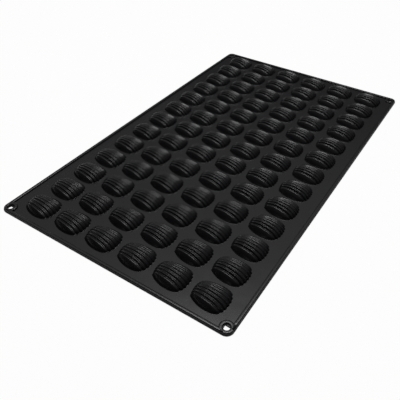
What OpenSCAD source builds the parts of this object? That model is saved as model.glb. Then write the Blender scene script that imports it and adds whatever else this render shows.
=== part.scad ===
// Flexible baking mould for small shell cakes, lying with its cups upwards.
// X is the short side, Y the long side, Z up from the open face at zero.

/* [Sheet] */
// short side of the sheet
sheet_w = 325; // [292:1:450]
// long side of the sheet
sheet_l = 530; // [470:1:650]
// thickness of the sheet
sheet_t = 2.4; // [1.6:0.1:4]
// radius of the sheet's corners, also the inset of the hanging holes
corner_r = 8.5; // [7.5:0.1:12]
// distance from a long edge of the sheet to the cups
side_margin = 19.5; // [16:0.1:25]
// distance from a short edge of the sheet to the cups
end_margin = 14.65; // [14:0.05:20]

/* [Cups] */
// cups in one row
row_cups = 6; // [2:1:6]
// length of a cup at its base
cup_l = 42; // [35:0.5:46]
// width of a cup at its base
cup_w = 31.5; // [27:0.5:35]
// height of a cup's crest above the open face
cup_top = 13.8; // [10:0.1:18]
// wall of a cup
cup_wall = 1.8; // [1.5:0.1:2.5]
// how far the mouth in the sheet stays inside the foot of a cup
mouth_in = 1.75; // [1:0.05:2.5]

/* [Ridges] */
// number of ridges on a cup
ridges = 7; // [5:2:7]
// angle between the middle ridges
ridge_step = 2.36; // [2:0.02:2.6]
// how much closer the outer ridges stand together
crowding = 0.0106; // [0:0.001:0.015]
// distance from the middle of a cup back to the point the ridges fan out from
fan_back = 100; // [90:1:120]
// fall of a ridge's side, per millimetre sideways
ridge_fall = 0.48; // [0.3:0.02:0.6]
// how far the widest place lies towards the broad end
wide_x = 5; // [3:0.5:7]
// radius of the blunt narrow end, seen from above
nose_r = 25; // [20:1:40]
// lean of the wall at the narrow end, per millimetre of height
nose_lean = 0.35; // [0.1:0.05:0.6]
// number of flutes inside a cup
hollow_flutes = 7; // [3:2:7]
// depth of the flutes inside a cup
flute_in = 0.6; // [0.2:0.1:1]

/* [Rim] */
// distance from the edge of the sheet to the bead
bead_in = 1.6; // [1:0.1:3]
// width of the bead
bead_w = 3.4; // [2:0.1:5]
// height of the bead above the sheet
bead_h = 2; // [1:0.1:4]

/* [Hanging holes] */
// diameter of the corner holes
hole_d = 7.4; // [5:0.1:8]
// width of the raised ring round a hole
ring_w = 3.5; // [2:0.1:4.5]
// height of the raised ring above the sheet
ring_h = 2.2; // [1:0.1:4]

/* [Hidden] */
skin = [0.16, 0.16, 0.17];
fine = 96;
// rows of cups along the long side, each with a strip of the sheet under it
cup_rows = 13;
row_pitch = (sheet_l - 2 * end_margin - cup_w) / (cup_rows - 1);
cup_pitch = (sheet_w - 2 * side_margin - cup_l) / (row_cups - 1);
half = (ridges - 1) / 2;
rise = cup_top - sheet_t;
broad_r = cup_l / 2 - wide_x;
// radius of the arch across a cup
arch_r = (cup_w * cup_w / 4 + rise * rise) / (2 * rise);
// how far the flank is cut off square at the foot
flank_cut = 0.3;
foot_y = cup_w / 2 - flank_cut;
leg = 3.6;
flank_leg = 6.5;
// how far beyond the narrow end the arcs of the ridges would reach the sheet
nose_over = 3.5;
near_curve = 0.073;
// share of a ridge's step that it reaches into its neighbour
lap = 0.15;
// half width of the hollow, and the fan angle, in ridge steps, that bounds it towards the nose
hollow_w = cup_w / 2 - 3.15;
side_fan = half + 0.7;
// radius of the flanks of the mouth, and how much further in they lie
mouth_flank_r = 46;
mouth_flank_in = 0.75;
// the end strips of the sheet stop halfway between the hanging holes and the mouths
end_strip = (corner_r + hole_d / 2 + end_margin + mouth_in) / 2;
hole_x = sheet_w / 2 - corner_r;
hole_y = sheet_l / 2 - corner_r;
ring_r = ring_w / 2 + 0.15;
ring_mid = hole_d / 2 + ring_w / 2 - 0.15;
ring_out = ring_mid + ring_r;

function row_y(i) = (i - (cup_rows + 1) / 2) * row_pitch;
function cup_x(j) = (j - (row_cups - 1) / 2) * cup_pitch;

// all distances of a ridge are taken from the fan point along the ridge
function far_s(a) = let (d = wide_x + fan_back)
    d * cos(a) + sqrt(broad_r * broad_r - pow(d * sin(a), 2));
function near_s(a) = (fan_back - cup_l / 2 - nose_over) / cos(a) + near_curve * a * a;
function mid_s(a) = (far_s(a) + near_s(a)) / 2;
function crest(a) = sqrt(arch_r * arch_r - pow(mid_s(a) * sin(a), 2)) + rise - arch_r;
function arc_r(a) = let (c = (far_s(a) - near_s(a)) / 2, h = crest(a)) (c * c + h * h) / (2 * h);
// direction of ridge k, or of a place between two ridges
function turn(k) = ridge_step * k * (1 - crowding * k * k);
// fall of the dome from ridge k to the next one, per millimetre sideways
function fall(k) = let (a = turn(k), b = turn(k + 1)) (crest(a) - crest(b)) / (mid_s(a) * (b - a) * PI / 180);
function flank_fall(a) = crest(a) / (cup_w / 2 - mid_s(a) * sin(a) - 2 * flank_cut);
function ray(k) = [-fan_back, 0] + (fan_back + 60) * [cos(turn(k)), sin(turn(k))];

// the upright space bounded by the leaning wall of the narrow end
module nose(inset) {
    translate([nose_r - cup_l / 2, 0, 0])
        cylinder(r1 = nose_r - inset + sheet_t * nose_lean, r2 = nose_r - inset - rise * nose_lean, h = cup_top, $fn = fine);
}

// one ridge of a cup: a tent-shaped strip turned about a level axis, between two upright planes that
// reach a little into the neighbouring ridges
module ridge(k) {
    a = turn(k);
    r = arc_r(a);
    outer = k == half ? flank_fall(a) : ridge_fall + fall(k);
    inner = k == 0 ? outer : ridge_fall - fall(k - 1);
    out_leg = k == half ? flank_leg : leg;
    core = min(r - outer * out_leg, r - inner * leg) - 2;
    intersection() {
        translate([-fan_back, 0, 0])
            rotate([0, 0, a])
                translate([mid_s(a), 0, sheet_t + crest(a) - r])
                    rotate([90, 0, 0])
                        rotate([0, 0, 5])
                            rotate_extrude(angle = 170, $fn = fine)
                                polygon([
                                    [core, leg], [r - inner * leg, leg], [r, 0],
                                    [r - outer * out_leg, -out_leg], [core, -out_leg]
                                ]);
        translate([0, 0, sheet_t])
            linear_extrude(cup_top)
                polygon(k < half
                    ? [[-fan_back, 0], ray(k - 0.5 - lap), ray(k + 0.5 + lap)]
                    : [[-fan_back, 0], ray(k - 0.5 - lap), [cup_l, foot_y], [-cup_l / 2 - 1, foot_y]]);
    }
}

module side_ridges() {
    for (k = [1 : half]) ridge(k);
}

// the hollow of a cup, turned in one go about a level axis, with straight flutes
module hollow() {
    r = arc_r(0);
    n = hollow_flutes - 1;
    function y(i) = (i - n) * hollow_w / n;
    function drop(i) = arch_r - sqrt(arch_r * arch_r - y(i) * y(i)) + cup_wall * sqrt(1 + pow(y(i) / arch_r, 2));
    intersection() {
        translate([mid_s(0) - fan_back, 0, sheet_t + rise - r])
            rotate([90, 0, 0])
                rotate_extrude(angle = 180, $fn = fine)
                    polygon(concat(
                        [[1, y(0)]],
                        [for (i = [0 : 2 * n]) [r - drop(i) - (i % 2 == 0 ? 0 : flute_in), y(i)]],
                        [[1, y(2 * n)]]
                    ));
        translate([0, 0, sheet_t - 1])
            linear_extrude(cup_top)
                polygon([[-fan_back, 0], ray(-side_fan), ray(side_fan)]);
        nose(cup_wall);
    }
}

module cup() {
    difference() {
        intersection() {
            union() {
                ridge(0);
                side_ridges();
                mirror([0, 1, 0]) side_ridges();
            }
            nose(0);
        }
        hollow();
    }
}

module cup_row(i) {
    color(skin)
        for (j = [0 : row_cups - 1])
            translate([cup_x(j), row_y(i), 0]) cup();
}

// outline of the opening under a cup: a round nose, a round broad end and two slightly bowed flanks
module mouth() {
    end_r = broad_r - mouth_in;
    flank_x = wide_x + 1;
    flank_y = cup_w / 2 - mouth_in - mouth_flank_in;
    intersection() {
        translate([nose_r - cup_l / 2, 0]) circle(r = nose_r - mouth_in, $fn = fine);
        union() {
            translate([wide_x, 0]) circle(r = end_r, $fn = fine);
            translate([-cup_l, -end_r + flank_cut]) square([cup_l + wide_x, 2 * (end_r - flank_cut)]);
        }
        translate([flank_x, flank_y - mouth_flank_r]) circle(r = mouth_flank_r, $fn = fine);
        translate([flank_x, mouth_flank_r - flank_y]) circle(r = mouth_flank_r, $fn = fine);
    }
}

// strip of the sheet under one row of cups
module sheet_row(i) {
    low = i == 1 ? end_strip - sheet_l / 2 : row_y(i) - row_pitch / 2;
    high = i == cup_rows ? sheet_l / 2 - end_strip : row_y(i) + row_pitch / 2;
    color(skin)
        linear_extrude(sheet_t)
            difference() {
                translate([-sheet_w / 2, low]) square([sheet_w, high - low]);
                for (j = [0 : row_cups - 1]) translate([cup_x(j), row_y(i)]) mouth();
            }
}

// front end of the sheet, with its rounded corners and two hanging holes
module sheet_end() {
    color(skin)
        linear_extrude(sheet_t)
            difference() {
                intersection() {
                    union() {
                        translate([-hole_x, -sheet_l / 2]) square([2 * hole_x, 2 * corner_r]);
                        translate([-sheet_w / 2, -hole_y]) square([sheet_w, 2 * corner_r]);
                        for (x = [-1, 1]) translate([x * hole_x, -hole_y]) circle(r = corner_r, $fn = fine);
                    }
                    translate([-sheet_w / 2, -sheet_l / 2]) square([sheet_w, end_strip]);
                }
                for (x = [-1, 1]) translate([x * hole_x, -hole_y]) circle(d = hole_d, $fn = fine);
            }
}
module sheet_front() {
    sheet_end();
}
module sheet_back() {
    rotate([0, 0, 180]) sheet_end();
}

// section of the bead: a round crest on a short upright foot
module bead_section(r, h) {
    intersection() {
        translate([0, h - r]) circle(r = r, $fn = fine);
        translate([-2 * r, 0]) square([4 * r, 2 * h]);
    }
}

// a straight bead of the given length along X, ending against the rings
module bead(run) {
    difference() {
        translate([-run / 2, 0, sheet_t])
            rotate([90, 0, 90])
                linear_extrude(run) bead_section(bead_w / 2, bead_h);
        for (s = [-1, 1])
            translate([s * run / 2, corner_r - bead_in - bead_w / 2, 0]) cylinder(r = ring_out, h = 20, $fn = fine);
    }
}

module bead_front() {
    color(skin) translate([0, -sheet_l / 2 + bead_in + bead_w / 2, 0]) bead(2 * hole_x);
}
module bead_back() {
    color(skin) rotate([0, 0, 180]) translate([0, -sheet_l / 2 + bead_in + bead_w / 2, 0]) bead(2 * hole_x);
}
module bead_left() {
    color(skin) rotate([0, 0, -90]) translate([0, -sheet_w / 2 + bead_in + bead_w / 2, 0]) bead(2 * hole_y);
}
module bead_right() {
    color(skin) rotate([0, 0, 90]) translate([0, -sheet_w / 2 + bead_in + bead_w / 2, 0]) bead(2 * hole_y);
}

// raised ring round a hanging hole
module ring(x, y) {
    color(skin)
        translate([x * hole_x, y * hole_y, sheet_t])
            rotate_extrude($fn = fine)
                intersection() {
                    translate([ring_mid, 0]) bead_section(ring_r, ring_h);
                    translate([hole_d / 2, 0]) square([20, 20]);
                }
}

sheet_front();
sheet_back();
sheet_row(1);  // sheet_row_01
sheet_row(2);  // sheet_row_02
sheet_row(3);  // sheet_row_03
sheet_row(4);  // sheet_row_04
sheet_row(5);  // sheet_row_05
sheet_row(6);  // sheet_row_06
sheet_row(7);  // sheet_row_07
sheet_row(8);  // sheet_row_08
sheet_row(9);  // sheet_row_09
sheet_row(10);  // sheet_row_10
sheet_row(11);  // sheet_row_11
sheet_row(12);  // sheet_row_12
sheet_row(13);  // sheet_row_13
cup_row(1);  // cup_row_01
cup_row(2);  // cup_row_02
cup_row(3);  // cup_row_03
cup_row(4);  // cup_row_04
cup_row(5);  // cup_row_05
cup_row(6);  // cup_row_06
cup_row(7);  // cup_row_07
cup_row(8);  // cup_row_08
cup_row(9);  // cup_row_09
cup_row(10);  // cup_row_10
cup_row(11);  // cup_row_11
cup_row(12);  // cup_row_12
cup_row(13);  // cup_row_13
bead_front();
bead_back();
bead_left();
bead_right();
ring(-1, -1);  // ring_front_left
ring(1, -1);  // ring_front_right
ring(-1, 1);  // ring_back_left
ring(1, 1);  // ring_back_right
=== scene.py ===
import math

import bmesh
import bpy
import numpy as np
from mathutils import Matrix, Vector


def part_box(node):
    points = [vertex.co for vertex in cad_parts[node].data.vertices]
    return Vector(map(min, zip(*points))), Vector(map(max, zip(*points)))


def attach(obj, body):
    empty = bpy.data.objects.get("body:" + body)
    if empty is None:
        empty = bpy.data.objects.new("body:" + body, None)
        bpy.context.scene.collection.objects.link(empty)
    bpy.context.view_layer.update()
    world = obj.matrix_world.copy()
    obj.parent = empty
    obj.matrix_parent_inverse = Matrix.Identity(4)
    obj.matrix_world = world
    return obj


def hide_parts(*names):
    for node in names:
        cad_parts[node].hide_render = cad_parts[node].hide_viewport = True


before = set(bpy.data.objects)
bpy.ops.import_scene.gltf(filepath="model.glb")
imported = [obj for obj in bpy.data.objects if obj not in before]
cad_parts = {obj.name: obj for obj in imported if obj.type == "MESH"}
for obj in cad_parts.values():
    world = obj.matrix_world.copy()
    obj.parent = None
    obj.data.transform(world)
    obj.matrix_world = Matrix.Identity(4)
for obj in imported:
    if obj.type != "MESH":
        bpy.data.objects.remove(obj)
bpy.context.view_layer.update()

# Sizes are in millimetres until a mesh is made
MM = 0.001


def node_box(node):
    """Lowest and highest corner of a CAD node, in millimetres."""
    low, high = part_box(node)
    return np.array(low) / MM, np.array(high) / MM


# Sheet: thickness, radius of corners and edges, and the flat margin at either end beyond the cells
SHEET = sorted(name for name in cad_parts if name.startswith("sheet_"))
SHEET_HIGH = np.max([node_box(name)[1] for name in SHEET], axis=0)
SHEET_T = SHEET_HIGH[2]
CORNER_R = 8.5
EDGE_R = 0.5
END_MARGIN = 14.0

# Cups
ROWS = sorted(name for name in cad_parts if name.startswith("cup_row"))
ROW_CUPS = 6
ROW_LOW, ROW_HIGH = node_box(ROWS[0])
CUP_L = 42.0
RISE = ROW_HIGH[2] - SHEET_T
CUP_WALL = 1.8
CUP_PITCH = (ROW_HIGH[0] - ROW_LOW[0] - CUP_L) / (ROW_CUPS - 1)
FOOT_R = 1.1

# Ridges: seven on a cup, fanning out from a point behind the narrow end, closer together at the sides
SIDE_RIDGES = 3
RIDGE_STEP = math.radians(2.36)
CROWDING = 0.0106
FAN_BACK = 100.0

# Ends of a cup: an arc at the narrow end and half a superellipse at the broad end
NOSE_R = 25.0
BROAD_X = 3.0
BROAD_L = 18.3
BROAD_W = 17.9
BROAD_POWER = 2.7

# Line of the ridges' highest places
WIDE_X = 5.0
BROAD_R = CUP_L / 2 - WIDE_X
NOSE_OVER = 3.5
NEAR_CURVE = 239.6

# Height of the crests: an arch across the cup, and the power of the cosine along a ridge
ARCH_R = 17.5
SUNK = 2.2
NOSE_ROUND = 0.84
BROAD_ROUND = 0.92

# Grooves: depth below the crests, and its shares across and along the cup
GROOVE_DEPTH = 1.45
HOLLOW_GROOVE = 0.8
GROOVE_MIDDLE = 0.97
GROOVE_SIDE = 0.45
GROOVE_SUMMIT = 0.9
GROOVE_GAIN = 0.4
GROOVE_LEAST = 0.55
STEEP_KEEP = 0.6
STEEP_POWER = 3
NOSE_SCALLOP = 0.4
BROAD_SCALLOP = 0.5

# Foot of a cup under its flanks
HALF_FOOT = 17.6
FOOT_OVER = 0.3
FOOT_STOP = 0.99
FOOT_WALL = 1.15
NOSE_NARROWER = 6.6
NOSE_RUN = 23.3
NOSE_POWER = 2.4

# Flanks: from the last crest at either side down to the foot
FLANK_BLUR = 0.045
FLANK_START = 19.3
FLANK_RUN = 36.9
FLANK_PUSH = 0.3
PUSH_POWER = 2
FLANK_DRAW = 0.5
DRAW_POWER = 8
FLANK_LEAST = 0.15
FLANK_CROWDING = 1.3
SWELL = 0.5
SWELL_LIFT = 0.6
SWELL_FULL = 5

# Steps across a ridge and down a flank, and rows of points along a cup
RIDGE_STEPS = 12
FLANK_STEPS = 12
CUP_ROWS = 41

# Rim: a ring's lip is pairs of distance from the hole's wall and drop below the section's level there
HOLE_R = 3.7
BEAD_HALF = 2.2
BEAD_H = 1.95
BEAD_IN = 2.7
BEAD_POWER = 3.0
RING_LIP = [(0.0, 0.45), (0.08, 0.15)]
LIP_LEVEL = 0.15
LIP_END = 0.3
SECTION_STEPS = 24
BEAD_STEPS = 60
RING_STEPS = 96
CORNER_STEPS = 12


# Meshes

class Surface:
    """Collects grids of points, each a surface of two parameters, into one mesh."""

    def __init__(self):
        self.points, self.faces, self.flat = [], [], []
        self.size = 0

    def add(self, grid, closed=False, turned=False, flat=False):
        """Adds a grid of shape rows, columns, 3, with quads between neighbours.

        closed joins the last column to the first, turned makes the faces point the other way, and flat
        shades them flat.
        """
        rows, columns, _ = grid.shape
        index = self.size + np.arange(rows * columns).reshape(rows, columns)
        if closed:
            index = np.column_stack([index, index[:, 0]])
        corners = [index[:-1, :-1], index[:-1, 1:], index[1:, 1:], index[1:, :-1]]
        faces = np.stack(corners[::-1] if turned else corners, -1).reshape(-1, 4)
        self.points.append(grid.reshape(-1, 3))
        self.faces.append(faces)
        self.flat.append(np.full(len(faces), flat))
        self.size += rows * columns

    def mesh(self, name, reach=0.004):
        """The mesh, in metres. Points within reach millimetres are joined, and faces without area dropped."""
        mesh = bpy.data.meshes.new(name)
        write_mesh(mesh, np.concatenate(self.points), np.concatenate(self.faces), np.concatenate(self.flat))
        work = bmesh.new()
        work.from_mesh(mesh)
        bmesh.ops.remove_doubles(work, verts=work.verts, dist=reach * MM)
        bmesh.ops.dissolve_degenerate(work, edges=work.edges, dist=reach * MM / 4)
        bmesh.ops.triangulate(work, faces=[f for f in work.faces if len(f.verts) > 4])
        work.to_mesh(mesh)
        work.free()
        return mesh


def write_mesh(mesh, points, faces, flat):
    """Fills a mesh from points in millimetres and faces of four points."""
    mesh.vertices.add(len(points))
    mesh.vertices.foreach_set("co", (points * MM).astype(np.float32).ravel())
    mesh.loops.add(faces.size)
    mesh.loops.foreach_set("vertex_index", faces.astype(np.int32).ravel())
    mesh.polygons.add(len(faces))
    mesh.polygons.foreach_set("loop_start", np.arange(0, faces.size, 4, dtype=np.int32))
    mesh.polygons.foreach_set("use_smooth", ~flat)
    mesh.update(calc_edges=True)


def repeated(mesh, name, shifts):
    """A mesh with a copy of the given one at each shift, in millimetres."""
    points = np.empty(len(mesh.vertices) * 3, np.float32)
    mesh.vertices.foreach_get("co", points)
    corners = np.empty(len(mesh.loops), np.int32)
    mesh.loops.foreach_get("vertex_index", corners)
    starts = np.empty(len(mesh.polygons), np.int32)
    mesh.polygons.foreach_get("loop_start", starts)
    smooth = np.empty(len(mesh.polygons), bool)
    mesh.polygons.foreach_get("use_smooth", smooth)
    copies = np.arange(len(shifts))[:, None]
    many = bpy.data.meshes.new(name)
    many.vertices.add(len(mesh.vertices) * len(shifts))
    placed = points.reshape(1, -1, 3) + np.asarray(shifts)[:, None] * MM
    many.vertices.foreach_set("co", placed.astype(np.float32).ravel())
    many.loops.add(len(corners) * len(shifts))
    many.loops.foreach_set("vertex_index", (corners + copies * len(mesh.vertices)).astype(np.int32).ravel())
    many.polygons.add(len(starts) * len(shifts))
    many.polygons.foreach_set("loop_start", (starts + copies * len(corners)).astype(np.int32).ravel())
    many.polygons.foreach_set("use_smooth", np.tile(smooth, len(shifts)))
    many.update(calc_edges=True)
    return many


def place(mesh, name, material, *nodes):
    """Makes an object of a finished mesh, which stands for the CAD nodes named."""
    piece = bpy.data.objects.new(name, mesh)
    bpy.context.scene.collection.objects.link(piece)
    piece.data.materials.append(material)
    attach(piece, "root")
    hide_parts(*nodes)


# Cups: a ridge is a bowed line in the upright plane of its ray from the fan point

def ray_of(ridge):
    """Direction of a ridge by its number, 0 in the middle: even steps, less a cubic part at the sides."""
    return RIDGE_STEP * ridge * (1 - CROWDING * ridge ** 2)


def far_end(ray, inset):
    """Distance from the fan point to the broad end, along a ray: the end is half a superellipse."""
    aside = (FAN_BACK + CUP_L / 2) * np.abs(np.sin(ray)) / (BROAD_W - inset)
    reach = (BROAD_L - inset) * (1 - aside ** BROAD_POWER) ** (1 / BROAD_POWER)
    return (FAN_BACK + BROAD_X + reach) / np.cos(ray)


def near_end(ray, inset):
    """Distance from the fan point to the blunt narrow end, along a ray: the end is an arc of NOSE_R."""
    back = FAN_BACK + NOSE_R - CUP_L / 2
    return back * np.cos(ray) - np.sqrt((NOSE_R - inset) ** 2 - (back * np.sin(ray)) ** 2)


def summit(ray):
    """Distance from the fan point to a ridge's highest place.

    It is midway between a line just beyond the narrow end, bent by the square of the ray's angle, and an arc
    about WIDE_X at the broad end.
    """
    start = (FAN_BACK - CUP_L / 2 - NOSE_OVER) / np.cos(ray) + NEAR_CURVE * ray ** 2
    back = WIDE_X + FAN_BACK
    stop = back * np.cos(ray) + np.sqrt(BROAD_R ** 2 - (back * np.sin(ray)) ** 2)
    return (stop + start) / 2


def foot_line(x, inset):
    """Half width of the foot at a place along the cup.

    It is half a superellipse towards the broad end, and less by a power of the distance from WIDE_X towards
    the narrow end.
    """
    nose = NOSE_NARROWER * np.clip((WIDE_X - x) / NOSE_RUN, 0, 1) ** NOSE_POWER
    broad = np.clip((x - BROAD_X) / (BROAD_L + FOOT_OVER), 0, FOOT_STOP) ** BROAD_POWER
    return (HALF_FOOT - nose) * (1 - broad) ** (1 / BROAD_POWER) - FOOT_WALL * inset


def groove_at(ridge, turn, depth):
    """Depth below the crests: a cosine across, growing as a square to the sides and as a sine along."""
    across = GROOVE_MIDDLE + GROOVE_SIDE * (ridge / SIDE_RIDGES) ** 2
    along = np.clip(GROOVE_SUMMIT + GROOVE_GAIN * np.sin(turn), GROOVE_LEAST, 1)
    return depth * across * (1 - np.cos(2 * math.pi * ridge)) / 2 * along


def ridged_back(depth, inset, fillet):
    """The back of a cup as rows by columns of points, from the narrow end to the broad end.

    Along a ridge the height over a level SUNK below the sheet's top goes as cos(turn) ** power, and the way
    from the summit as sin(turn), turn running from the foot at the narrow end to the foot at the broad end.
    The full height follows a round arch across the cup. A groove is sunk square to the arch on the back, and
    in towards the summit where the ends are steep.
    """
    ridge = np.linspace(-SIDE_RIDGES, SIDE_RIDGES, 2 * SIDE_RIDGES * RIDGE_STEPS + 1)
    ray = ray_of(ridge)
    middle = summit(ray)
    full = RISE - inset - ARCH_R + np.sqrt(ARCH_R ** 2 - (middle * np.sin(ray)) ** 2)
    slope = middle * np.sin(ray) / ARCH_R
    t = np.sin(np.linspace(-math.pi / 2, math.pi / 2, CUP_ROWS))[:, None] * math.pi / 2
    power = np.where(t < 0, NOSE_ROUND, BROAD_ROUND)
    foot = np.arccos(((SUNK - fillet) / (full + SUNK)) ** (1 / power))
    end = np.where(t < 0, middle - near_end(ray, inset), far_end(ray, inset) - middle)
    turn = t / (math.pi / 2) * foot
    along = middle + end * np.sin(turn) / np.sin(foot)
    up = (full + SUNK) * np.cos(turn) ** power - SUNK
    groove = groove_at(ridge, turn, depth)
    steep = np.clip(np.abs(np.sin(turn)), 0, 1) ** STEEP_POWER
    lean = np.sqrt(1 + slope ** 2)
    up = up - groove * (1 - STEEP_KEEP * steep) / lean
    along = along - np.sign(turn) * groove * steep * np.where(t < 0, NOSE_SCALLOP, BROAD_SCALLOP)
    aside = -groove * slope / lean * (1 - steep)
    x = along * np.cos(ray) - aside * np.sin(ray) - FAN_BACK
    y = along * np.sin(ray) + aside * np.cos(ray)
    return np.stack([x, y, up], -1)


def flank(top, sign, inset, fillet):
    """A flank from the last crest, top, down to the foot line.

    It is straight, but rounded at the crest as a hyperbola and swelling between as a half wave of a sine.
    """
    top = top[:, None]
    v = np.linspace(0, 1, FLANK_STEPS + 1)[1:] ** FLANK_CROWDING
    drop = np.sqrt(v ** 2 + FLANK_BLUR ** 2) - FLANK_BLUR
    drop = drop / (math.sqrt(1 + FLANK_BLUR ** 2) - FLANK_BLUR)
    shift = np.clip((top[..., 0] + FLANK_START) / FLANK_RUN, 0, 1)
    foot_x = top[..., 0] + FLANK_PUSH * (1 - shift ** PUSH_POWER) - FLANK_DRAW * inset * shift ** DRAW_POWER
    foot_y = sign * np.maximum(foot_line(foot_x, inset), np.abs(top[..., 1]) + FLANK_LEAST)
    swell = SWELL * np.sin(math.pi * v) * np.clip(top[..., 2], 0, SWELL_FULL) / SWELL_FULL
    x = top[..., 0] + (foot_x - top[..., 0]) * v
    y = top[..., 1] + (foot_y - top[..., 1]) * v + sign * swell
    z = top[..., 2] + (-fillet - top[..., 2]) * drop + SWELL_LIFT * swell
    return np.stack([x, y, z], -1)


def cup_face(depth, inset=0.0, fillet=0.0):
    """A face of a cup: its ridged back and its two flanks. The foot runs out flat as a parabola."""
    back = ridged_back(depth, inset, fillet)
    near = flank(back[:, 0], -1, inset, fillet)
    far = flank(back[:, -1], 1, inset, fillet)
    face = np.concatenate([near[:, ::-1], back, far], axis=1)
    up = face[..., 2]
    if fillet:
        runout = (up + fillet) ** 2 / (4 * fillet)
        face[..., 2] = np.where(np.abs(up) < fillet, runout, np.maximum(up, 0))
    else:
        face[..., 2] = np.maximum(up, 0)
    face[..., 2] += SHEET_T
    return face


def foot_loop(face):
    """The closed line round a cup's face: the narrow end, one side, the broad end and the other side."""
    return np.concatenate([face[0], face[1:-1, -1], face[-1][::-1], face[-2:0:-1, 0]])


def cup_mesh():
    """One cup: its outside, its hollow and the narrow ring between them where it stands on the sheet."""
    outside = cup_face(GROOVE_DEPTH, fillet=FOOT_R)
    hollow = cup_face(HOLLOW_GROOVE, inset=CUP_WALL)
    cup = Surface()
    cup.add(outside, turned=True)
    cup.add(hollow)
    cup.add(np.stack([foot_loop(outside), foot_loop(hollow)]), closed=True)
    return cup.mesh("cup")


def mouth_outline(angles):
    """Points of the hollow's mouth in given directions from the cup's middle, found on its line by angle."""
    loop = foot_loop(cup_face(HOLLOW_GROOVE, inset=CUP_WALL))[:, :2]
    turn = np.arctan2(loop[:, 1], loop[:, 0])
    order = np.argsort(turn)
    turn, loop = turn[order], loop[order]
    turn = np.concatenate([turn[-3:] - 2 * math.pi, turn, turn[:3] + 2 * math.pi])
    loop = np.concatenate([loop[-3:], loop, loop[:3]])
    reach = np.interp(angles, turn, np.hypot(loop[:, 0], loop[:, 1]))
    return np.column_stack([reach * np.cos(angles), reach * np.sin(angles)])


# Sheet

def grown(loop, by):
    """A closed line moved outwards by a distance, square to itself. The line runs anticlockwise."""
    run = np.roll(loop, -1, axis=0) - np.roll(loop, 1, axis=0)
    run /= np.linalg.norm(run, axis=1, keepdims=True)
    return loop + by * np.column_stack([run[:, 1], -run[:, 0]])


def at_height(loop, z):
    """A flat line of points set at a height."""
    return np.column_stack([loop, np.full(len(loop), z)])


def wall_of(loop, profile):
    """A profile of pairs, outward distance and height, carried round a closed line."""
    return np.stack([at_height(grown(loop, by), z) for by, z in profile])


def arc(centre, radius, start, turn=90.0, steps=6):
    """Points of an arc about a centre: it starts at an angle and goes on by a turn, both in degrees."""
    angle = np.radians(np.linspace(start, start + turn, steps + 1))
    return np.asarray(centre) + radius * np.column_stack([np.cos(angle), np.sin(angle)])


def box_line(low, high, across, along):
    """The outline of a flat box, anticlockwise from its low corner, with so many steps on each side."""
    x = np.linspace(low[0], high[0], across + 1)
    y = np.linspace(low[1], high[1], along + 1)
    sides = [(x[:-1], low[1]), (high[0], y[:-1]), (x[:0:-1], high[1]), (low[0], y[:0:-1])]
    return np.concatenate([np.column_stack(np.broadcast_arrays(a, b)) for a, b in sides])


# Half sizes of the sheet, and of its flat faces inside the rounded edge
HALF_W, HALF_L = SHEET_HIGH[0], SHEET_HIGH[1]
FLAT_W, FLAT_L = HALF_W - EDGE_R, HALF_L - EDGE_R
HOLE_X, HOLE_Y = HALF_W - CORNER_R, HALF_L - CORNER_R

# Middles of the cups, and the lines between the cells that the sheet's flat faces are made of
CUP_X = (np.arange(ROW_CUPS) - (ROW_CUPS - 1) / 2) * CUP_PITCH
ROW_Y = np.array([sum(node_box(name))[1] / 2 for name in ROWS])
ROW_PITCH = (ROW_Y[-1] - ROW_Y[0]) / (len(ROWS) - 1)
CELL_X = np.concatenate([CUP_X - CUP_PITCH / 2, CUP_X[-1:] + CUP_PITCH / 2])
CELL_Y = np.concatenate([ROW_Y - ROW_PITCH / 2, ROW_Y[-1:] + ROW_PITCH / 2])
CELL_Y[0], CELL_Y[-1] = END_MARGIN - HALF_L, HALF_L - END_MARGIN
STEPS_X, STEPS_Y = 22, 18

# Sections of the sheet's edges from the top down, as pairs of outward distance and height
MOUTH_FLARE = 0.35
MOUTH_LIP = (0.15, SHEET_T - 0.7)
MOUTH_EDGE = [(0.0, SHEET_T), MOUTH_LIP, (MOUTH_FLARE, EDGE_R)]
MOUTH_EDGE += [(MOUTH_FLARE + EDGE_R - x, EDGE_R - y) for x, y in arc((0, 0), EDGE_R, 0)[1:]]
HOLE_EDGE = [(0.0, SHEET_T), (0.0, EDGE_R)]
HOLE_EDGE += [(EDGE_R - x, EDGE_R - y) for x, y in arc((0, 0), EDGE_R, 0)[1:]]
SIDE_EDGE = [tuple(p) for p in arc((0, SHEET_T - EDGE_R), EDGE_R, 90, -90)]
SIDE_EDGE += [tuple(p) for p in arc((0, EDGE_R), EDGE_R, 0, -90)]

# Heights of the sheet's two faces, each with the point of an edge's section that lies in it
LEVELS = {SHEET_T: 0, 0.0: -1}


def corner_bend():
    """The rounded corner of the sheet's flat face at +X +Y, anticlockwise."""
    return arc((HOLE_X, HOLE_Y), CORNER_R - EDGE_R, 0, steps=CORNER_STEPS)


def corner_outline():
    """Outline of the flat face round the hole at +X +Y, anticlockwise."""
    inner = [(CELL_X[-1], CELL_Y[-1]), (FLAT_W, CELL_Y[-1])]
    return np.concatenate([inner, corner_bend(), [(CELL_X[-1], FLAT_L)]])


def flat_ring(sheet, inside, outside, z):
    """Flat faces between two closed lines of as many points: they face down at height 0 and up elsewhere."""
    sheet.add(np.stack([at_height(outside, z), at_height(inside, z)]), closed=True, turned=z == 0, flat=True)


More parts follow.
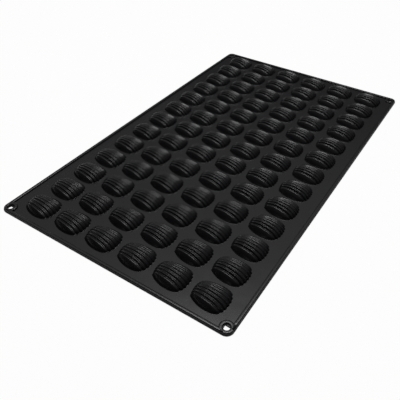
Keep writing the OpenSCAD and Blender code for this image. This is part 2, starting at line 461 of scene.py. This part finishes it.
def mouth_cells(sheet):
    """Adds the cells: each mouth's edge, and the flat faces from it out to the cell's border."""
    for x in CUP_X:
        for j, y in enumerate(ROW_Y):
            low = np.array([x - CUP_PITCH / 2, CELL_Y[j]])
            high = np.array([x + CUP_PITCH / 2, CELL_Y[j + 1]])
            cell = box_line(low, high, STEPS_X, STEPS_Y)
            mouth = mouth_outline(np.arctan2(cell[:, 1] - y, cell[:, 0] - x)) + [x, y]
            edge = wall_of(mouth, MOUTH_EDGE)
            sheet.add(edge, closed=True)
            for z, row in LEVELS.items():
                flat_ring(sheet, edge[row, :, :2], cell, z)


def hole_corners(sheet):
    """Adds the corners, mirrored from the one at +X +Y: each hole's edge, and the flat faces round it."""
    corner = corner_outline()
    hole = np.array([HOLE_X, HOLE_Y])
    away = np.arctan2(corner[:, 1] - hole[1], corner[:, 0] - hole[0])
    ring = hole + HOLE_R * np.column_stack([np.cos(away), np.sin(away)])
    edge = wall_of(ring, HOLE_EDGE)
    for sx in (-1, 1):
        for sy in (-1, 1):
            flip = np.array([sx, sy, 1])
            back = sx * sy < 0
            sheet.add(edge * flip, closed=True, turned=back)
            for z, row in LEVELS.items():
                plate = np.stack([at_height(corner, z), at_height(edge[row, :, :2], z)]) * flip
                sheet.add(plate, closed=True, turned=(z == 0) != back, flat=True)


def margins(sheet, xs, ys):
    """Adds the flat strips between the cells and the sheet's rounded edge, along its sides and ends."""
    for z in LEVELS:
        for s in (-1, 1):
            side = [np.column_stack([np.full(len(ys), s * x), ys]) for x in (FLAT_W, CELL_X[-1])]
            end = [np.column_stack([xs, np.full(len(xs), s * y)]) for y in (FLAT_L, CELL_Y[-1])]
            for lines, back in ((side, s < 0), (end, s > 0)):
                strip = np.stack([at_height(line, z) for line in lines])
                sheet.add(strip, turned=(z == 0) != back, flat=True)


def outer_edge(sheet, xs, ys):
    """Adds the rounded outer edge: its section carried round the outline of the flat face.

    The outline's second half is the first one turned by half a turn.
    """
    right = np.column_stack([np.full(len(ys), FLAT_W), ys])
    back = np.column_stack([xs[::-1], np.full(len(xs), FLAT_L)])
    half = np.concatenate([right, corner_bend(), back, corner_bend()[::-1] * [-1, 1]])
    sheet.add(wall_of(np.concatenate([half, -half]), SIDE_EDGE), closed=True, turned=True)


def sheet_mesh():
    """The sheet: flat cells round the mouths and holes, margins, and the rounded edges that join them."""
    xs = np.linspace(CELL_X[0], CELL_X[-1], STEPS_X * ROW_CUPS + 1)
    ys = [np.linspace(a, b, STEPS_Y + 1)[:-1] for a, b in zip(CELL_Y, CELL_Y[1:])]
    ys = np.concatenate(ys + [CELL_Y[-1:]])
    sheet = Surface()
    mouth_cells(sheet)
    hole_corners(sheet)
    margins(sheet, xs, ys)
    outer_edge(sheet, xs, ys)
    return sheet.mesh("sheet")


# Rim

def bead_section():
    """Section of the bead, half a superellipse: pairs of distance from its middle and height on the sheet."""
    angle = np.linspace(0, math.pi, SECTION_STEPS + 1)
    across = -np.sign(np.cos(angle)) * np.abs(np.cos(angle)) ** (2 / BEAD_POWER)
    up = np.clip(np.sin(angle), 0, 1) ** (2 / BEAD_POWER)
    up[[0, -1]] = 0
    return np.column_stack([BEAD_HALF * across, BEAD_H * up])


def bead_grid(length):
    """The bead's section carried along X, its outer side towards -Y and the sheet's edge at Y = 0."""
    section = bead_section()
    y = BEAD_IN + section[:, 0]
    path = np.linspace(-length / 2, length / 2, BEAD_STEPS + 1)
    return np.stack([np.stack([np.full(len(y), x), y, section[:, 1] + SHEET_T], -1) for x in path])


def turned_about_z(grid, degrees):
    """The points turned anticlockwise about the Z axis."""
    c, s = math.cos(math.radians(degrees)), math.sin(math.radians(degrees))
    return grid @ np.array([[c, s, 0], [-s, c, 0], [0, 0, 1]])


def bead(name, node, length, reach, degrees, material):
    """Makes one of the four beads: a straight one with flat ends and base, set out by reach and turned."""
    grid = turned_about_z(bead_grid(length) - [0, reach, 0], degrees)
    surface = Surface()
    surface.add(grid, turned=True)
    base = np.stack([grid[:, 0], grid[:, -1]])
    surface.add(base, turned=True)
    for end, back in ((grid[0], True), (grid[-1], False)):
        half = len(end) // 2
        surface.add(np.stack([end[:half + 1], end[half:][::-1]]), turned=not back)
    place(surface.mesh(name), name, material, node)


def ring_mesh(name, x, y):
    """The raised ring round a hole: the bead's section carried round, with a lip and an upright hole wall."""
    section = bead_section()
    radius = CORNER_R - BEAD_IN + section[:, 0]
    height = section[:, 1]
    half = len(radius) // 2
    level = np.interp(HOLE_R + LIP_LEVEL, radius[:half], height[:half])
    lip = [(HOLE_R + out, level - drop) for out, drop in RING_LIP]
    keep = radius > HOLE_R + LIP_END
    crown = np.column_stack([radius, height])[keep]
    profile = np.concatenate([[(HOLE_R, 0.0)], lip, crown, [(HOLE_R, 0.0)]])
    angle = np.linspace(0, 2 * math.pi, RING_STEPS + 1)[:-1]
    grid = np.stack([
        np.column_stack([x + r * np.cos(angle), y + r * np.sin(angle), np.full(len(angle), h + SHEET_T)])
        for r, h in profile
    ])
    surface = Surface()
    surface.add(grid, closed=True, turned=True)
    return surface.mesh(name)


# Finish: noise scales are in waves to the metre, and the grain's depth is in metres
SILICONE_IOR = 1.43
CLOUD_SCALE, CLOUD_DETAIL = 9.0, 3.0
CLOUD_FROM, CLOUD_TO = 0.3, 0.7
TONE_LOW, TONE_HIGH = 0.86, 1.12
BLOTCH_SCALE, BLOTCH_DETAIL = 60.0, 4.0
GLOSS_SPREAD = 0.05
GRAIN_SCALE, GRAIN_DETAIL, GRAIN_ROUGH = 2600.0, 2.0, 0.6
GRAIN_DEPTH = 0.00004


def silicone(name, tone, grain, gloss):
    """Near-black moulded silicone: a satin surface with fine grain, and faint clouds in tone and gloss."""
    material = bpy.data.materials.new(name)
    material.use_nodes = True
    nodes, links = material.node_tree.nodes, material.node_tree.links
    shader = nodes["Principled BSDF"]
    shader.inputs["Specular IOR Level"].default_value = 0.5
    shader.inputs["IOR"].default_value = SILICONE_IOR
    where = nodes.new("ShaderNodeTexCoord")

    def noise(scale, detail, rough=0.5):
        node = nodes.new("ShaderNodeTexNoise")
        node.inputs["Scale"].default_value = scale
        node.inputs["Detail"].default_value = detail
        node.inputs["Roughness"].default_value = rough
        links.new(where.outputs["Object"], node.inputs["Vector"])
        return node

    clouds = noise(CLOUD_SCALE, CLOUD_DETAIL)
    ramp = nodes.new("ShaderNodeValToRGB")
    ends = ((CLOUD_FROM, TONE_LOW), (CLOUD_TO, TONE_HIGH))
    for element, (position, share) in zip(ramp.color_ramp.elements, ends):
        element.position = position
        element.color = (*[c * share for c in tone], 1)
    links.new(clouds.outputs["Fac"], ramp.inputs["Fac"])
    links.new(ramp.outputs["Color"], shader.inputs["Base Color"])
    blotches = noise(BLOTCH_SCALE, BLOTCH_DETAIL)
    spread = nodes.new("ShaderNodeMapRange")
    spread.inputs["To Min"].default_value = gloss - GLOSS_SPREAD
    spread.inputs["To Max"].default_value = gloss + GLOSS_SPREAD
    links.new(blotches.outputs["Fac"], spread.inputs["Value"])
    links.new(spread.outputs["Result"], shader.inputs["Roughness"])
    fine = noise(GRAIN_SCALE, GRAIN_DETAIL, GRAIN_ROUGH)
    bump = nodes.new("ShaderNodeBump")
    bump.inputs["Strength"].default_value = grain
    bump.inputs["Distance"].default_value = GRAIN_DEPTH
    links.new(fine.outputs["Fac"], bump.inputs["Height"])
    links.new(bump.outputs["Normal"], shader.inputs["Normal"])
    return material


# Pieces

skin = silicone("silicone_skin", tone=(0.010, 0.010, 0.0115), grain=0.15, gloss=0.24)
place(sheet_mesh(), "sheet", skin, *SHEET)
one_cup = cup_mesh()
for row, y in zip(ROWS, ROW_Y):
    shifts = [(x, y, 0) for x in CUP_X]
    name = row.replace("cup_row", "shells")
    place(repeated(one_cup, name, shifts), name, skin, row)
bpy.data.meshes.remove(one_cup)
bead("rim_front", "bead_front", 2 * HOLE_X, HALF_L, 0, skin)
bead("rim_back", "bead_back", 2 * HOLE_X, HALF_L, 180, skin)
bead("rim_right", "bead_right", 2 * HOLE_Y, HALF_W, 90, skin)
bead("rim_left", "bead_left", 2 * HOLE_Y, HALF_W, 270, skin)
for end, sy in (("front", -1), ("back", 1)):
    for side, sx in (("left", -1), ("right", 1)):
        name = f"eyelet_{end}_{side}"
        place(ring_mesh(name, sx * HOLE_X, sy * HOLE_Y), name, skin, f"ring_{end}_{side}")


# Floor: metres, and the share of a camera ray's light that is plain white
FLOOR_SIZE = 12
FLOOR_GAP = 0.0002
FLOOR_TONE = 0.9
FLOOR_WHITE = 0.96


def plain_floor():
    """A white floor, lit as it is but brighter to the camera, so that only a faint shadow stays."""
    bpy.ops.mesh.primitive_plane_add(size=FLOOR_SIZE, location=(0, 0, -FLOOR_GAP))
    floor = bpy.context.object
    floor.name = "floor"
    material = bpy.data.materials.new("floor_white")
    material.use_nodes = True
    nodes, links = material.node_tree.nodes, material.node_tree.links
    nodes.clear()
    output = nodes.new("ShaderNodeOutputMaterial")
    matt = nodes.new("ShaderNodeBsdfDiffuse")
    matt.inputs["Color"].default_value = (FLOOR_TONE, FLOOR_TONE, FLOOR_TONE, 1)
    glow = nodes.new("ShaderNodeEmission")
    glow.inputs["Color"].default_value = (1, 1, 1, 1)
    path = nodes.new("ShaderNodeLightPath")
    seen = nodes.new("ShaderNodeMath")
    seen.operation = "MULTIPLY"
    seen.inputs[1].default_value = FLOOR_WHITE
    links.new(path.outputs["Is Camera Ray"], seen.inputs[0])
    mix = nodes.new("ShaderNodeMixShader")
    links.new(seen.outputs[0], mix.inputs["Fac"])
    links.new(matt.outputs[0], mix.inputs[1])
    links.new(glow.outputs[0], mix.inputs[2])
    links.new(mix.outputs[0], output.inputs["Surface"])
    floor.data.materials.append(material)


# Sky: pairs of the sine of the height over the horizon and the level there, dimmed towards the front
SKY_LEVELS = [(0.0, 0.05), (0.36, 0.05), (0.44, 0.06), (0.50, 0.10), (0.62, 0.40), (0.80, 0.60), (1.0, 0.66)]
SKY_BACK = (-0.5, 0.86, 0.0)
SKY_FADE = (-0.2, 0.3)
SKY_FRONT = 0.18


def studio_sky():
    """The world: white to the camera, and a soft sky on the object."""
    world = bpy.data.worlds.new("studio")
    bpy.context.scene.world = world
    world.use_nodes = True
    nodes, links = world.node_tree.nodes, world.node_tree.links
    background = nodes["Background"]
    background.inputs["Color"].default_value = (1, 1, 1, 1)
    where = nodes.new("ShaderNodeTexCoord")
    parts = nodes.new("ShaderNodeSeparateXYZ")
    links.new(where.outputs["Generated"], parts.inputs[0])
    ramp = nodes.new("ShaderNodeValToRGB")
    while len(ramp.color_ramp.elements) < len(SKY_LEVELS):
        ramp.color_ramp.elements.new(0.5)
    for element, (height, level) in zip(ramp.color_ramp.elements, SKY_LEVELS):
        element.position = height
        element.color = (level, level, level, 1)
    links.new(parts.outputs["Z"], ramp.inputs["Fac"])
    back = nodes.new("ShaderNodeVectorMath")
    back.operation = "DOT_PRODUCT"
    back.inputs[1].default_value = SKY_BACK
    links.new(where.outputs["Generated"], back.inputs[0])
    fade = nodes.new("ShaderNodeMapRange")
    fade.inputs["From Min"].default_value, fade.inputs["From Max"].default_value = SKY_FADE
    fade.inputs["To Min"].default_value = SKY_FRONT
    links.new(back.outputs["Value"], fade.inputs["Value"])
    dimmed = nodes.new("ShaderNodeMath")
    dimmed.operation = "MULTIPLY"
    links.new(ramp.outputs["Color"], dimmed.inputs[0])
    links.new(fade.outputs["Result"], dimmed.inputs[1])
    path = nodes.new("ShaderNodeLightPath")
    strength = nodes.new("ShaderNodeMapRange")
    strength.inputs["To Max"].default_value = 1.0
    links.new(path.outputs["Is Camera Ray"], strength.inputs["Value"])
    links.new(dimmed.outputs[0], strength.inputs["To Min"])
    links.new(strength.outputs["Result"], background.inputs["Strength"])


def soft_lamp(name, at, size, watts):
    """A rectangular soft box at a place in metres, aimed at the middle of the sheet."""
    lamp = bpy.data.lights.new(name, "AREA")
    lamp.shape = "RECTANGLE"
    lamp.size, lamp.size_y = size
    lamp.energy = watts
    box = bpy.data.objects.new(name, lamp)
    bpy.context.scene.collection.objects.link(box)
    box.location = at
    box.rotation_euler = (-Vector(at)).to_track_quat("-Z", "Y").to_euler()


plain_floor()
studio_sky()
soft_lamp("lamp_top", at=(-0.10, 0.24, 1.4), size=(0.9, 0.36), watts=8.5)
soft_lamp("lamp_left", at=(-1.25, 0.75, 0.26), size=(0.9, 0.5), watts=1.1)

# Camera: where the photograph was taken from, in metres, and its focal length and centre in pixels
SENSOR_MM = 36.0
FRAME_PX = 400
FOCAL_PX = 458.2
CENTRE_PX = 224.1
EYE = Vector((0.27702, -0.46758, 0.38282))
AHEAD = Vector((-0.38873, 0.63688, -0.66579))
DOWN = Vector((0.36484, -0.55715, -0.74597))


def photo_camera():
    """A camera at EYE that looks along AHEAD, with DOWN as the picture's downward direction."""
    data = bpy.data.cameras.new("camera")
    data.sensor_width = SENSOR_MM
    data.lens = SENSOR_MM * FOCAL_PX / FRAME_PX
    data.shift_x = (FRAME_PX / 2 - CENTRE_PX) / FRAME_PX
    data.clip_start, data.clip_end = 0.01, 20
    camera = bpy.data.objects.new("camera", data)
    bpy.context.scene.collection.objects.link(camera)
    ahead = AHEAD.normalized()
    right = DOWN.cross(ahead).normalized()
    up = right.cross(ahead)
    turn = Matrix((right, up, -ahead)).transposed()
    camera.matrix_world = Matrix.Translation(EYE) @ turn.to_4x4()
    bpy.context.scene.camera = camera


photo_camera()
bpy.context.scene.view_settings.view_transform = "Standard"
